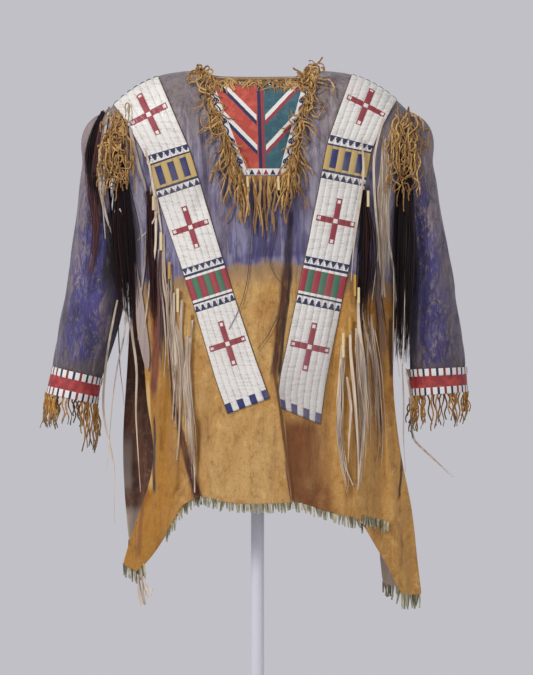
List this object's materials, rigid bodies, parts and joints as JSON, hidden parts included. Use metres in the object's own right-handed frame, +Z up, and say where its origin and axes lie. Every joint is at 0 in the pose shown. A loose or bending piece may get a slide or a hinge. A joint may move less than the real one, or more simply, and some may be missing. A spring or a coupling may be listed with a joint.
{
  "type": "war shirt on display stand",
  "caption": "Hide war shirt with beaded strips, a wool bib, fringes and hair locks, hung in worn form over a pole stand with a round base.",
  "frame": {"origin": "centre of the underside of the stand's round base", "axes": "+Z up along the pole, the shirt's front faces -Y, +X is the wearer's left"},
  "size_m": [0.8023, 0.32, 1.3048],
  "materials": {
    "hide": "brain-tanned hide, dyed blue-violet above and golden ochre below, matt and slightly napped",
    "beadwork": "small opaque glass beads in sewn lanes, softly glossy",
    "red_wool": "fulled red wool trade cloth",
    "green_wool": "fulled blue-green wool trade cloth",
    "neck_cloth": "plain tan cloth binding",
    "cuff_wool": "faded red cloth between two beaded edges",
    "hem_fringe": "cut hide fringe with green-stained tips",
    "thongs": "twisted golden hide thongs",
    "hair": "locks of pale and dark hair with wrapped tops",
    "stand_paint": "pale satin paint"
  },
  "bodies": {
    "root": {"front_panel": "hide", "back_panel": "hide", "sleeve_right": "hide", "sleeve_left": "hide", "strip_right": "beadwork", "strip_left": "beadwork", "bib_right": "red_wool", "bib_left": "green_wool", "neck_band": "neck_cloth", "cuff_right": "cuff_wool", "cuff_left": "cuff_wool", "hem_fringe_front": "hem_fringe", "hem_fringe_back": "hem_fringe", "pendant_fringe_right": "hem_fringe", "pendant_fringe_left": "hem_fringe", "cuff_fringe_right": "thongs", "cuff_fringe_left": "thongs", "neck_fringe_right": "thongs", "neck_fringe_left": "thongs", "neck_fringe_low": "thongs", "shoulder_fringe_right": "thongs", "shoulder_fringe_left": "thongs", "hair_locks_right_front": "hair", "hair_locks_right_back": "hair", "hair_locks_left_front": "hair", "hair_locks_left_back": "hair", "stand_base": "stand_paint", "stand_pole": "stand_paint", "stand_yoke": "stand_paint"}
  },
  "joints": []
}
